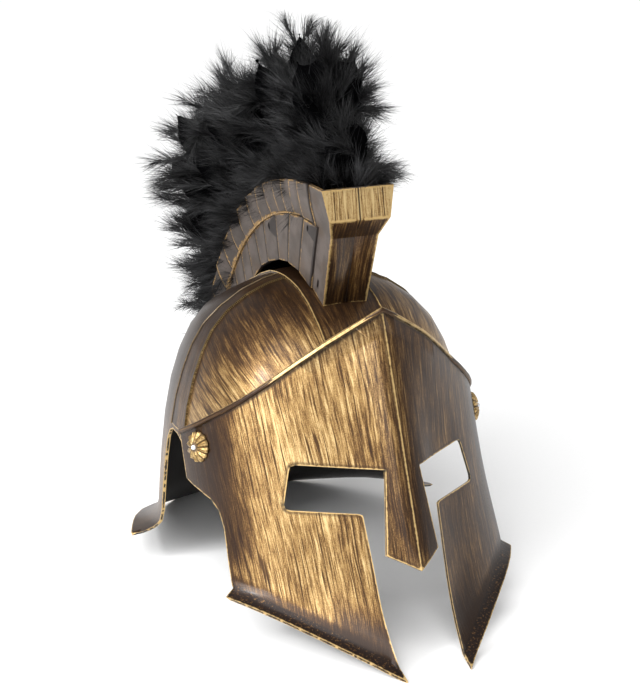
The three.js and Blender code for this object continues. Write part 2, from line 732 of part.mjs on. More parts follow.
const helmet = new THREE.Group();
const clearance = skullClearance();
const crestHalf = makeCrestHalf(clearance);
helmet.add(mesh('skull', toGeometry(standing(makeSkull())), bronze));
helmet.add(mesh('visor', toGeometry(standing(makeVisor())), bronze));
helmet.add(mesh('crest_left', toGeometry(crestHalf), crestGrey));
helmet.add(mesh('crest_right', toGeometry(mirrorX(crestHalf)), crestGrey));
const rosette = toGeometry(makeRosette());
for (const [name, side] of [['rosette_left', 1], ['rosette_right', -1]]) {
  const node = mesh(name, rosette, gilt);
  placeRosette(node, side);
  helmet.add(node);
}
helmet.add(mesh('plume', toGeometry(makePlume(clearance)), feather));

// The origin is the middle of the underside of the box round the helmet.
const bounds = new THREE.Box3().setFromObject(helmet);
helmet.position.set(
  -(bounds.min.x + bounds.max.x) / 2,
  -(bounds.min.y + bounds.max.y) / 2,
  -bounds.min.z,
);

export default helmet;
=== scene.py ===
"""A costume helmet in the Greek style: bronze-brushed shell and visor, hollow
arched crest, ear rosettes and a black feather plume. Metres, face towards -Y."""

import math

import bmesh
import bpy
import numpy as np
from mathutils import Matrix, Vector
from mathutils.bvhtree import BVHTree
from mathutils.kdtree import KDTree


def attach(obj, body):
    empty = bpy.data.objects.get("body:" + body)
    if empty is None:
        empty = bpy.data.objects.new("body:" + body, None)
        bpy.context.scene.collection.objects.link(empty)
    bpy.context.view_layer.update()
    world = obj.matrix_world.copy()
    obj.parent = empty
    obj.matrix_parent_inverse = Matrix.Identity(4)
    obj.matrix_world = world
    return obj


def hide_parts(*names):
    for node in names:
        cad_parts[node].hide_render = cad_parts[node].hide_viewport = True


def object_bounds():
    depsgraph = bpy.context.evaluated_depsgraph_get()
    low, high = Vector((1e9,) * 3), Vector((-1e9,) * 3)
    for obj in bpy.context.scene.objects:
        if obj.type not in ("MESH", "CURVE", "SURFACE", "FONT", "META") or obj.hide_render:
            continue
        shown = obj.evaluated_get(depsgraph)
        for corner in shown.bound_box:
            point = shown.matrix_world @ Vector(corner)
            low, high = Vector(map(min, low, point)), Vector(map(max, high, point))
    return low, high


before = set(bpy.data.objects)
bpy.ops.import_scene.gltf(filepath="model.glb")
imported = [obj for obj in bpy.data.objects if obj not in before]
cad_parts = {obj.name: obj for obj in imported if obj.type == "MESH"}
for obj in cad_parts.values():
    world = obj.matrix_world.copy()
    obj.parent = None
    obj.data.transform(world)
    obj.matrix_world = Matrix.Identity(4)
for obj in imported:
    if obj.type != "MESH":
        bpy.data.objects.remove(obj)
CAD_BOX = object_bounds()

MM = 0.001
SHIFT = np.array([0.0, -40.1307, -3.9])   # drawing millimetres to the frame's

# ---------------------------------------------------------------- dimensions
# All in drawing millimetres, as the solids are.

PEAK = np.array([0, -64.2, 217.6])        # top of the visor's ridge
NOSE_TIP = np.array([0, -125.2, 64.4])    # foot of the visor's ridge
VISOR_SECTION = [  # across the ridge: x, depth behind it
    (0, 0), (8, 2.9), (17, 7.8), (26, 14.6), (35, 20.8), (43, 27), (50, 32), (58, 38.7),
    (66, 45.8), (74, 53.5), (81, 61.2), (88, 70.3), (94, 80.1), (98, 88.4), (101, 96.8),
    (103.2, 107), (104.6, 117),
]
VISOR_TOP = [  # x, distance down the ridge
    (0, 0), (17, 7.8), (35, 16.6), (50, 25.2), (66, 35), (81, 43.2), (94, 49.4), (104.6, 55),
]
RIM_BEAD = 1.75           # radius of the visor's rolled edge
RIM_SIDES = 14
HEM = {"x": 27, "s": 217.2, "slope": -0.847}   # its crease, s being down the ridge

# Crest, in polar form: angle in degrees from the back, over the top.
CREST_AXIS = {"y": 30, "z": 113}
CREST_PROFILE = [  # angle, crease radius, top radius
    (-6, 137, 148.5), (10, 137.5, 147.5), (30, 138, 147.5), (45, 139, 151), (60, 141, 157),
    (75, 144.5, 164), (90, 148, 171.5), (100, 150.2, 178), (111, 152, 184.5),
]
CREST_UNDERSIDE = [  # angle, radius
    (-6, 100), (44, 100), (50, 116.5), (60, 115), (70, 114), (80, 113), (90, 110), (100, 105.5),
    (106, 102.4), (111, 101.3),
]
CREST_HALF = {"foot": 15.5, "crease": 16.9, "shoulder": 21.4, "top": 25.2}
PLATE_GAP = 0.38          # degrees left on each side of a plank or plate
INNER_PLANKS = [  # angle at the foot, angle at the crease
    (102, 103.9), (92.2, 95.7), (82.9, 86.5), (75.2, 76.6), (64.9, 67.2), (57.8, 59.4),
    (48.7, 52.2), (40.5, 45.6), (33, 36.8), (24, 28), (14, 18), (4, 8), (-5.4, -3),
]
OUTER_PLATES = [  # angle at the crease, angle at the top
    (102, 102.4), (96.2, 97.4), (90.7, 93.1), (85.5, 88.6), (80.4, 83.4), (74.8, 78),
    (67.8, 72.8), (61.3, 66), (53.2, 58.6), (45.6, 51.4), (37.1, 43.4), (28.3, 34.4),
    (19.5, 25.4), (10.8, 16.4), (2.2, 7.4), (-5.6, -1.8),
]
RIVET_HOLES = [(70.9, 137.3), (98.3, 144.2), (105.9, 111.6)]   # angle, radius
BLOCK_FRONT = 106         # angle past which faces belong to the block's front
BLOCK_HEAD = 158          # radius from which the seam between the halves shows
BLOCK_SHADE = [  # radii, how dark the block is there
    (101, 104, 150, 154, 165, 168, 184), (0.1, 0.5, 0.35, 0.45, 0.25, -0.42, -0.5),
]

# Raised bands on the dome.
SPINE_BAND = {"half": 23.4, "rise": 1.3}
EAR_BAND = {"front": 35.5, "rise": 1.1}
EAR_BAND_REAR = [(12, 47), (35, 49), (55, 58), (92, 64)]   # turn from the top, y
BAND_HALF = [0, 0.015, 0.04, 0.065, 0.09, 0.13, 0.25, 0.4, 0.5]
BAND_STEPS = BAND_HALF + [1 - t for t in reversed(BAND_HALF[:-1])]
BEAD = [(0.015, 0.9), (0.04, 1.35), (0.09, 1.3), (0.13, 0.75), (0.5, 0.7)]  # share, rise

ROSETTE = {"radius": 10.2, "petals": 12, "stone": 1.75, "steps": 168}
ROSETTE_RINGS = [  # share of the radius, height
    (1.0, 0.0), (1.0, 0.5), (0.97, 1.1), (0.86, 1.75), (0.72, 2.5), (0.58, 3.1),
    (0.45, 3.5), (0.34, 3.7), (0.27, 3.55), (0.22, 3.6), (0.17, 3.9),
]

PLUME_PIECES = 5
FEATHERS_A_PIECE = 175
BARBS_A_FEATHER = 150
QUILL_STEPS = 8
BARB_STEPS = 3
TRAY_SHARE = 0.22         # of the feathers that stand along the tray
LONG_SHARE = 0.06         # of the feathers that are longer than the rest
PLUME_SEED = 11
BOX_MARGIN = 2            # barbs slow down this far inside the part's own box,
BOX_EASE = 9              # and get no further than this past that

FAR = 0.05                # metres: nothing marks an edge or corner further off


# ------------------------------------------------------------------- helpers

def in_frame(points):
    """Drawing millimetres to frame metres."""
    return (np.asarray(points, float) + SHIFT) * MM


def in_drawing(points):
    return np.asarray(points, float) / MM - SHIFT


def step(low, high, value):
    """0 up to low and 1 from high on, smooth between them."""
    t = np.clip((np.asarray(value, float) - low) / (high - low), 0, 1)
    return t * t * (3 - 2 * t)


def unit(v):
    return v / np.maximum(np.linalg.norm(v, axis=-1, keepdims=True), 1e-9)


def column(table, at, k):
    """Column k of a table, read at values of its first column."""
    rows = sorted(table)
    return np.interp(at, [row[0] for row in rows], [row[k] for row in rows])


def linked(name, data):
    """A new object with this data, in the scene."""
    made = bpy.data.objects.new(name, data)
    bpy.context.scene.collection.objects.link(made)
    return made


def mesh_piece(name, vertices, faces):
    """A new piece from drawing millimetres."""
    mesh = bpy.data.meshes.new(name)
    mesh.from_pydata([tuple(v) for v in in_frame(vertices)], [], [tuple(f) for f in faces])
    mesh.update()
    return linked(name, mesh)


def outward(piece):
    """Turns a closed piece's faces outward."""
    bm = bmesh.new()
    bm.from_mesh(piece.data)
    bmesh.ops.recalc_face_normals(bm, faces=bm.faces)
    bm.to_mesh(piece.data)
    bm.free()
    return piece


def copy_of(node, name):
    """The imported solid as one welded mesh."""
    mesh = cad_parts[node].data.copy()
    mesh.materials.clear()
    piece = linked(name, mesh)
    bm = bmesh.new()
    bm.from_mesh(mesh)
    bmesh.ops.remove_doubles(bm, verts=bm.verts, dist=2e-6)
    bmesh.ops.dissolve_degenerate(bm, edges=bm.edges, dist=1e-6)
    bm.to_mesh(mesh)
    bm.free()
    return piece


def closed_rings(rings, sides):
    """Faces of a closed form through rings of equally many points, capped last."""
    faces = []
    for i in range(rings - 1):
        for k in range(sides):
            a, b = i * sides + k, i * sides + (k + 1) % sides
            faces.append((a, b, b + sides, a + sides))
    end = (rings - 1) * sides
    return faces + [tuple(range(sides))[::-1], tuple(range(end, end + sides))]


def pick(*pieces):
    """Selects these pieces only, the first one active."""
    bpy.ops.object.select_all(action="DESELECT")
    for piece in pieces:
        piece.select_set(True)
    bpy.context.view_layer.objects.active = pieces[0]


def join(name, pieces):
    pick(*pieces)
    bpy.ops.object.join()
    pieces[0].name = pieces[0].data.name = name
    return pieces[0]


def modifier(piece, kind, **settings):
    """Adds a modifier with these settings and applies it."""
    added = piece.modifiers.new(kind.title(), kind)
    for key, value in settings.items():
        setattr(added, key, value)
    pick(piece)
    bpy.ops.object.modifier_apply(modifier=added.name)
    return piece


def mirrored(piece, name):
    """The piece's twin on the other side, with its shading turned over too."""
    loops = piece.data.loops
    soft = [normal.vector.copy() for normal in piece.data.corner_normals]
    known = {(face.index, loops[k].vertex_index): soft[k]
             for face in piece.data.polygons for k in face.loop_indices}
    twin = piece.copy()
    twin.data = piece.data.copy()
    twin.name = twin.data.name = name
    bpy.context.scene.collection.objects.link(twin)
    twin.data.transform(Matrix.Scale(-1, 4, (1, 0, 0)))
    twin.data.flip_normals()
    turned = [None] * len(twin.data.loops)
    for face in twin.data.polygons:
        for k in face.loop_indices:
            x, y, z = known[face.index, twin.data.loops[k].vertex_index]
            turned[k] = (-x, y, z)
    twin.data.normals_split_custom_set(turned)
    return twin


def write(piece, name, values, domain="POINT"):
    """Stores a number or a vector for each point, face or corner."""
    values = np.asarray(values, np.float32)
    kind, key = ("FLOAT_VECTOR", "vector") if values.ndim == 2 else ("FLOAT", "value")
    piece.data.attributes.new(name, kind, domain).data.foreach_set(key, values.ravel())


def write_same(piece, value, *names):
    for name in names:
        write(piece, name, np.full(len(piece.data.vertices), value))


def rewrite(piece, name, change):
    """Replaces the stored numbers by change(numbers)."""
    layer = piece.data.attributes[name]
    values = np.empty(len(layer.data), np.float32)
    layer.data.foreach_get("value", values)
    layer.data.foreach_set("value", np.asarray(change(values), np.float32))


def points_of(piece):
    co = np.empty(len(piece.data.vertices) * 3, np.float32)
    piece.data.vertices.foreach_get("co", co)
    return co.reshape(-1, 3).astype(float)


def strokes(across, along):
    """Where points lie across and along the brush strokes, as flow vectors."""
    return np.stack([across, along, np.zeros(len(across))], -1)


def face_flags(piece, rule):
    """1 for each face whose middle and normal pass the rule, else 0."""
    return [int(rule(in_drawing(np.array(face.center)), np.array(face.normal)))
            for face in piece.data.polygons]


def edge_marks(bm, angle):
    """Points along the proud (True) and the inner (False) edges over an angle."""
    found = {True: [], False: []}
    for e in bm.edges:
        if len(e.link_faces) == 2 and e.calc_face_angle(0) < math.radians(angle):
            continue
        a, b = (v.co for v in e.verts)
        cells = max(1, int((b - a).length / 0.0006))
        proud = len(e.link_faces) != 2 or e.is_convex
        found[proud] += [a.lerp(b, k / cells) for k in range(cells + 1)]
    return found


def cut_long(bm, longest):
    """Halves the edges until none is longer than this, with triangles only."""
    bmesh.ops.triangulate(bm, faces=[f for f in bm.faces if len(f.verts) > 4])
    for _ in range(8):
        long = [e for e in bm.edges if e.calc_length() > longest * MM]
        if not long:
            break
        bmesh.ops.subdivide_edges(bm, edges=long, cuts=1, use_grid_fill=False)
        bmesh.ops.triangulate(bm, faces=[f for f in bm.faces if len(f.verts) > 3])


def distances(points, marks):
    """Metres from each point to its nearest mark, up to FAR."""
    if not marks:
        return np.full(len(points), FAR)
    tree = KDTree(len(marks))
    for k, mark in enumerate(marks):
        tree.insert(mark, k)
    tree.balance()
    return np.minimum([tree.find(p)[2] for p in points], FAR)


def sharpen(piece, angle, longest):
    """Cuts long edges, keeps the soft shading of the large faces, and writes each
    point's distance in metres from the nearest proud edge and nearest inner corner."""
    mesh = piece.data
    pick(piece)
    bpy.ops.object.shade_smooth_by_angle(angle=math.radians(angle))
    soft = np.empty(len(mesh.loops) * 3, np.float32)
    mesh.corner_normals.foreach_get("vector", soft)
    write(piece, "soft", soft.reshape(-1, 3), "CORNER")
    bm = bmesh.new()
    bm.from_mesh(mesh)
    found = edge_marks(bm, angle)
    cut_long(bm, longest)
    bm.to_mesh(mesh)
    bm.free()
    points = points_of(piece)
    write(piece, "edge", distances(points, found[True]))
    write(piece, "corner", distances(points, found[False]))
    soft = np.empty(len(mesh.loops) * 3, np.float32)
    mesh.attributes["soft"].data.foreach_get("vector", soft)
    mesh.attributes.remove(mesh.attributes["soft"])
    for face in mesh.polygons:
        face.use_smooth = True
    mesh.normals_split_custom_set(unit(soft.reshape(-1, 3)).tolist())
    return piece


def dress(piece, look, second=None, faces=()):
    """Gives the piece its look, and the faces flagged 1 the second look."""
    piece.data.materials.clear()
    piece.data.materials.append(look)
    if second:
        piece.data.materials.append(second)
        piece.data.polygons.foreach_set("material_index", list(faces))
    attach(piece, "root")
    return piece


# ----------------------------------------------------------------- materials

class Value:
    """A socket on its way through a material, which can be reckoned with."""

    def __init__(self, look, socket):
        self.look = look
        self.socket = socket

    def maths(self, operation, *terms):
        return self.look.node("ShaderNodeMath", {"operation": operation}, dict(enumerate(terms)))

    def __add__(self, other):
        return self.maths("ADD", self, other)

    def __radd__(self, other):
        return self.maths("ADD", other, self)

    def __sub__(self, other):
        return self.maths("SUBTRACT", self, other)

    def __rsub__(self, other):
        return self.maths("SUBTRACT", other, self)

    def __mul__(self, other):
        return self.maths("MULTIPLY", self, other)

    def __rmul__(self, other):
        return self.maths("MULTIPLY", other, self)


class Look:
    """A material built from nodes."""

    def __init__(self, name, **constants):
        self.material = bpy.data.materials.new(name)
        self.material.use_nodes = True
        self.tree = self.material.node_tree
        self.tree.nodes.clear()
        self.shader = self.tree.nodes.new("ShaderNodeBsdfPrincipled")
        end = self.tree.nodes.new("ShaderNodeOutputMaterial")
        self.tree.links.new(self.shader.outputs[0], end.inputs["Surface"])
        for key, value in constants.items():
            self.shader.inputs[key.replace("_", " ")].default_value = value

    def node(self, kind, settings=None, inputs=None, output=0):
        node = self.tree.nodes.new(kind)
        for key, value in (settings or {}).items():
            if key == "stops":
                ramp = node.color_ramp
                while len(ramp.elements) < len(value):
                    ramp.elements.new(0.5)
                for element, (place, colour) in zip(ramp.elements, value):
                    element.position = place
                    element.color = (*colour, 1)
            else:
                setattr(node, key, value)
        for key, value in (inputs or {}).items():
            if isinstance(value, Value):
                self.tree.links.new(value.socket, node.inputs[key])
            else:
                node.inputs[key].default_value = value
        return Value(self, node.outputs[output])

    def attribute(self, name, output="Fac"):
        return self.node("ShaderNodeAttribute", {"attribute_name": name}, output=output)

    def place(self):
        return self.node("ShaderNodeTexCoord", output="Object")

    def stretch(self, vector, scale):
        return self.node("ShaderNodeVectorMath", {"operation": "MULTIPLY"}, {0: vector, 1: scale})

    def shifted(self, vector, by):
        return self.node("ShaderNodeVectorMath", {"operation": "ADD"}, {0: vector, 1: by})

    def noise(self, vector, scale=1.0, detail=3.0, rough=0.6, output=0):
        return self.node("ShaderNodeTexNoise", None, {
            "Vector": vector, "Scale": scale, "Detail": detail, "Roughness": rough}, output)

    def between(self, value, low, high):
        return self.node("ShaderNodeMapRange", {"interpolation_type": "SMOOTHSTEP"}, {
            "Value": value, "From Min": low, "From Max": high})

    def mix(self, amount, first, second):
        colours = [c if isinstance(c, Value) else (*c, 1) for c in (first, second)]
        return self.node("ShaderNodeMix", {"data_type": "RGBA"}, {
            0: amount, 6: colours[0], 7: colours[1]}, output=2)

    def ramp(self, value, stops):
        return self.node("ShaderNodeValToRGB", {"stops": stops}, {"Fac": value})

    def bump(self, height, strength, distance):
        return self.node("ShaderNodeBump", None, {
            "Height": height, "Strength": strength, "Distance": distance})

    def feed(self, **links):
        for key, value in links.items():
            self.tree.links.new(value.socket, self.shader.inputs[key.replace("_", " ")])
        return self.material


BRONZE_STOPS = [
    (0.0, (0.020, 0.009, 0.004)), (0.25, (0.068, 0.033, 0.011)), (0.5, (0.170, 0.094, 0.031)),
    (0.75, (0.32, 0.200, 0.078)), (1.0, (0.55, 0.40, 0.19)),
]
BRIGHT_GOLD = (0.50, 0.34, 0.14)
INSIDE = (0.020, 0.018, 0.017)
HEM_BROWN = (0.011, 0.005, 0.003)
RUST = (0.16, 0.080, 0.026)
# The colour below is painted shade for a band just inside each edge.
RIM_PAINTED_SHADE = (0.030, 0.014, 0.007)
# The two colours below darken corners and grooves: painted shade there, and dirt.
BRONZE_GRIME_AND_SHADE = (0.010, 0.005, 0.003)
GREY_GRIME_AND_SHADE = (0.010, 0.007, 0.006)
BRUSH = {  # how often each layer changes across, along and off the strokes
    "wander": (11, 8, 1), "broad": (42, 17, 1), "streak": (430, 20, 1),
    "fine": (1000, 60, 1), "scratch": (640, 17, 1),
}


def brushed(name, reach=0.0, rim_share=0.6):
    """Dark shell with gold dry-brushed along the piece's flow. The attributes shade, hem and
    inner darken it; shade holds darker paint and, on the visor, painted shade and, below
    zero, painted highlights. Edge and corner hold the distances from its edges; it is
    darkened near corners by painted shade and dirt, and just inside edges by painted shade."""
    look = Look(name, Specular_IOR_Level=0.18, Coat_Weight=0.25, Coat_Roughness=0.2)
    flow = look.attribute("flow", "Vector")
    place = look.place()
    wander = look.noise(look.stretch(flow, BRUSH["wander"]), detail=2.0, output="Color")
    wander = look.shifted(wander, (-0.5, -0.5, -0.5))
    bent = look.shifted(flow, look.stretch(wander, (0.009, 0.009, 0)))
    broad = look.noise(look.stretch(bent, BRUSH["broad"]), detail=3.0)
    streak = look.noise(look.stretch(bent, BRUSH["streak"]), detail=5.0, rough=0.68)
    fine = look.noise(look.stretch(bent, BRUSH["fine"]), detail=4.0, rough=0.68)
    scratch = look.noise(look.stretch(bent, BRUSH["scratch"]), detail=3.0, rough=0.6)
    grain = look.noise(place, scale=1500.0, detail=3.0, rough=0.7)
    # shade carries darker paint, and on the visor also painted shade and, below zero, painted
    # highlights; it shifts the paint here and dims the gold below.
    shade = look.attribute("shade")
    paint = streak * 0.52 + fine * 0.62 + broad * 0.34 + grain * 0.34 - shade * 0.26
    gold = look.between(paint, 0.66, 1.13)
    lines = look.between(scratch, 0.45, 0.37)
    tone_and_painted_shade = look.between(shade, 0.0, 1.0)
    gold = gold * (1 - lines * 0.75) * (1 - tone_and_painted_shade * 0.5)
    colour = look.ramp(gold, BRONZE_STOPS)
    edge = look.attribute("edge")
    chips = look.noise(place, scale=420.0, detail=3.0)
    wear = look.between(edge + chips * (0.0012 + reach), 0.00155 + reach, 0.0008 + reach * 0.6)
    # Painted shade: a dark band just inside each edge, standing in for the shaded side of a rolled
    # rim.
    rim = look.between(edge, 0.0030, 0.0014) * rim_share
    colour = look.mix(rim * (1 - wear), colour, RIM_PAINTED_SHADE)
    colour = look.mix(wear, colour, BRIGHT_GOLD)
    # Darker near inner corners: painted shade there, and dirt.
    grime_and_shade = look.between(look.attribute("corner"), 0.0022, 0.0004) * 0.85
    colour = look.mix(grime_and_shade, colour, BRONZE_GRIME_AND_SHADE)
    hem = look.attribute("hem")
    speck = look.noise(place, scale=700.0, detail=4.0, rough=0.75)
    rust = look.mix(look.between(speck, 0.55, 0.68), HEM_BROWN, RUST)
    colour = look.mix(hem * (1 - wear), colour, rust)
    inner = look.attribute("inner")
    colour = look.mix(inner * (1 - wear), colour, INSIDE)
    skin = 1 - inner
    return look.feed(
        Base_Color=colour,
        Metallic=(0.5 + gold * 0.15) * skin,
        Roughness=0.36 - gold * 0.04 + fine * 0.16 + inner * 0.1,
        Normal=look.bump(streak + fine * 0.7 + grain * 0.3, 0.35, 0.0004),
    )


def grey_look():
    """Matt paint over mouldings, gold where their edges have been rubbed."""
    look = Look("crest_grey", Specular_IOR_Level=0.35)
    place = look.place()
    cloud = look.noise(place, scale=60.0, detail=4.0)
    grain = look.noise(place, scale=1300.0, detail=2.0)
    brown = look.noise(place, scale=26.0, detail=3.0)
    base = look.mix(look.between(cloud + grain * 0.3, 0.5, 0.8),
                    (0.044, 0.034, 0.028), (0.076, 0.061, 0.053))
    base = look.mix(look.between(brown, 0.5, 0.75) * 0.6, base, (0.062, 0.036, 0.018))
    edge = look.attribute("edge")
    chips = look.noise(place, scale=520.0, detail=4.0, rough=0.75)
    patchy = look.noise(place, scale=90.0, detail=2.0)
    wear = look.between(edge + chips * 0.0042 + patchy * 0.0018, 0.0041, 0.0032)
    across = look.attribute("across")
    wear = wear * look.between(across, 0.3, 0.5)
    gold = look.mix(look.between(grain, 0.4, 0.7), (0.20, 0.11, 0.035), (0.56, 0.37, 0.15))
    colour = look.mix(wear, base, gold)
    # Darker near inner corners, on the front strip of each plate beside the raised rear edge of its
    # neighbour, and over the shell where inner is set: painted shade in corners, grooves and gaps,
    # and dirt.
    grime_and_shade = look.between(look.attribute("corner"), 0.0014, 0.0003) * 0.8
    grime_and_shade = grime_and_shade + look.attribute("inner") + look.between(across, 0.13, 0.06) * 0.85
    colour = look.mix(grime_and_shade, colour, GREY_GRIME_AND_SHADE)
    return look.feed(
        Base_Color=colour,
        Metallic=wear * 0.5,
        Roughness=0.52 + grain * 0.12 - wear * 0.15,
        Normal=look.bump(grain, 0.12, 0.0003),
    )


def gilt_look():
    """Bright gilding, darker between the petals: painted shade there, and dirt."""
    look = Look("gilt")
    place = look.place()
    grain = look.noise(place, scale=700.0, detail=3.0)
    grime_and_shade = look.between(look.attribute("corner") + grain * 0.001, 0.0022, 0.0008)
    colour = look.mix(look.between(grain, 0.35, 0.65), (0.22, 0.135, 0.045), (0.52, 0.36, 0.16))
    colour = look.mix(grime_and_shade * 0.85, colour, (0.05, 0.025, 0.01))
    return look.feed(
        Base_Color=colour,
        Metallic=0.85 - grime_and_shade * 0.6,
        Roughness=0.30 + grain * 0.12,
        Normal=look.bump(grain, 0.2, 0.0003),
    )


def stone_look():
    """Pale glassy stone, with facets painted on its round face as lighter and greyer reflections.
    """
    look = Look("clear_stone", Roughness=0.06, IOR=1.7, Coat_Weight=0.6)
    painted_facet_light = look.node("ShaderNodeTexVoronoi", None, {"Vector": look.place(), "Scale": 900.0})
    return look.feed(Base_Color=look.mix(
        look.between(painted_facet_light, 0.2, 0.6), (0.9, 0.91, 0.93), (0.45, 0.47, 0.5)))


def shadow_look():
    """The dark depth of the plume, under its barbs."""
    look = Look("feather_shadow", Roughness=0.95, Specular_IOR_Level=0.0)
    cloud = look.noise(look.place(), scale=300.0, detail=2.0)
    return look.feed(Base_Color=look.mix(cloud, (0.0006, 0.0006, 0.0007), (0.0016, 0.0016, 0.0018)))


def feather_look():
    """Black barbs, greyer where tone is high; tone is lowered towards each barb's root
    as painted shade.
    """
    look = Look("feather", Roughness=0.5, Specular_IOR_Level=0.3)
    tone = look.attribute("tone")
    cloud = look.noise(look.place(), scale=38.0, detail=2.0)
    amount = look.between(tone * 0.8 + cloud * 0.5, 0.3, 1.1)
    return look.feed(Base_Color=look.mix(amount, (0.0012, 0.0012, 0.0014), (0.040, 0.040, 0.042)))


# --------------------------------------------------------------------- visor

DOWN = unit(NOSE_TIP - PEAK)
FORWARD = np.cross((1.0, 0, 0), DOWN)
FORWARD = unit(FORWARD if FORWARD[1] < 0 else -FORWARD)
RIM_CROWN = np.array([0, -0.25, 0.97])    # the side of the rolled edge that is rubbed


def along_section(x, depth):
    """How far round from the ridge a point lies, on the visor's section."""
    table = np.array(VISOR_SECTION, float)
    a, b = table[:-1], table[1:]
    run = np.concatenate([[0], np.cumsum(np.linalg.norm(b - a, axis=1))])
    p = np.stack([np.abs(x), depth], -1)[:, None, :]
    d = b - a
    t = np.clip(((p - a) * d).sum(-1) / (d * d).sum(-1), 0, 1)
    gap = np.linalg.norm(p - (a + d * t[..., None]), axis=-1)
    k = gap.argmin(1)
    rows = np.arange(len(k))
    return (run[:-1][k] + t[rows, k] * np.linalg.norm(d, axis=1)[k]) * np.sign(x)


def inside_visor(middle, normal):
    x = middle[0]
    out = FORWARD if abs(x) < 60 else np.array([np.sign(x), 0, 0]) + FORWARD * 0.4
    return normal @ out < -0.1


def make_visor():
    """The visor with its brushing: x, u and s run across the ridge, round the
    section and down the ridge, and each named term darkens or brightens a place;
    of these, painted light is the shade along the hem's crease, the shade over the
    half turned away from the key light and two pools of light on the lit half."""
    piece = sharpen(copy_of("visor", "visor_plate"), angle=20, longest=2.6)
    q = in_drawing(points_of(piece)) - PEAK
    s = q @ DOWN
    depth = -(q @ FORWARD)
    x = q[:, 0]
    u = along_section(x, depth)
    fan = 1 + 0.0009 * (s - 80)
    write(piece, "flow", strokes(u * fan, s) * MM)
    crease = HEM["s"] + HEM["slope"] * (np.abs(x) - HEM["x"])
    hem = step(-1.2, 0.6, s - crease)
    rear = step(54, 84, depth) * (1 - step(128, 160, s)) * 0.8
    nose = (1 - step(4, 24, np.abs(x))) * (0.1 + 0.3 * step(70, 120, s)) * (1 - step(150, 165, s))
    tip = step(170, 212, s) * (1 - step(34, 70, np.abs(x))) * 0.85
    # Painted light: shade along the hem's crease, shade over the +x half, which faces away from the
    # key light, and two pools of light on the -x half.
    painted_crease_shade = (1 - step(3, 9, crease - s)) * 0.5
    far = step(0.5, 12, x) * 0.42
    painted_highlight = np.exp(-((u + 72) / 30) ** 2 - ((s - 85) / 50) ** 2) * 0.32
    low = np.exp(-((u + 60) / 35) ** 2 - ((s - 150) / 30) ** 2) * 0.1
    shade = rear + nose + tip + painted_crease_shade + far - painted_highlight - low
    write(piece, "shade", np.clip(shade, -0.5, 1.1))
    write(piece, "hem", hem)
    write(piece, "inner", face_flags(piece, inside_visor), "FACE")
    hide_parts("visor")
    return piece


def make_rim():
    """Rolled edge along the top of the visor, rubbed along its crown."""
    half = [x for x, _ in VISOR_SECTION]
    xs = np.concatenate([np.linspace(a, b, 6)[:-1] for a, b in zip(half, half[1:])] + [half[-1:]])
    xs = np.concatenate([-xs[:0:-1], xs])
    depth = column(VISOR_SECTION, np.abs(xs), 1)
    fall = column(VISOR_TOP, np.abs(xs), 1)
    path = PEAK + DOWN * fall[:, None] - FORWARD * depth[:, None]
    path[:, 0] = xs
    along = unit(np.gradient(path, axis=0))
    crown = unit(RIM_CROWN - along * (along @ RIM_CROWN)[:, None])
    out = np.cross(along, crown)
    turn = np.arange(RIM_SIDES) * 2 * math.pi / RIM_SIDES
    ring = crown[:, None] * np.cos(turn)[:, None] + out[:, None] * np.sin(turn)[:, None]
    vertices = (path[:, None] + ring * RIM_BEAD).reshape(-1, 3)
    piece = outward(mesh_piece("visor_rim", vertices, closed_rings(len(xs), RIM_SIDES)))
    for face in piece.data.polygons:
        face.use_smooth = len(face.vertices) == 4
    q = in_drawing(points_of(piece))
    turned = np.tile(turn, len(xs))
    write(piece, "flow", strokes(turned * 2, q[:, 0]) * MM)
    write(piece, "edge", 0.0005 + 0.003 * (1 - np.cos(turned)))
    write_same(piece, 0.45, "shade")
    write_same(piece, FAR, "corner")
    write_same(piece, 0, "hem", "inner")
    return piece


# --------------------------------------------------------------------- skull

FLOW_AXIS = unit(np.array([0, -0.93, -0.36]))
FLOW_UP = unit(np.array([0, -0.36, 0.93]))
DOME_MIDDLE = np.array([0, 60, 120.0])


def dome_flow(q):
    """Strokes run forward over the front of the dome and down its back."""
    w = q - DOME_MIDDLE
    turn = np.arctan2(w[:, 0], w @ FLOW_UP)
    front = strokes(turn * 92, w @ FLOW_AXIS)
    around = np.arctan2(q[:, 0], q[:, 1] - 45)
    rear = strokes(around * 98 + 400, -q[:, 2])
    behind = step(36, 38, q[:, 1])[:, None]
    return front * (1 - behind) + rear * behind


def dome_shade(q):
    """Darker high on the dome, behind the ear bands and on the neck guard."""
    above_visor = (q - PEAK) @ unit(np.array([0, 0.67, 0.74]))
    high = step(-8, 48, above_visor) * (0.66 - 0.4 * step(10, 40, q[:, 0]))
    behind = step(36, 38, q[:, 1]) * 0.2
    guard = step(60, 20, q[:, 2]) * 0.3
    return np.clip(high + behind + guard, 0, 1.1)


def inside_skull(middle, normal):
    z = middle[2]
    axis = np.array([0, 42, z - 25 if z < 60 else min(z, 125.0)])
    return normal @ (middle - axis) < 0


def make_skull():
    piece = sharpen(copy_of("skull", "skull_shell"), angle=34, longest=3.2)
    q = in_drawing(points_of(piece))
    write(piece, "flow", dome_flow(q) * MM)
    write(piece, "shade", dome_shade(q))
    write_same(piece, 0, "hem")
    write(piece, "inner", face_flags(piece, inside_skull), "FACE")
    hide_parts("skull")
    return piece


# --------------------------------------------------------------------- crest

def polar(x, angle, r):
    """The point at x that lies at an angle and radius about the crest's axis."""
    t = math.radians(angle)
    return np.array([x, CREST_AXIS["y"] + r * math.cos(t), CREST_AXIS["z"] + r * math.sin(t)])


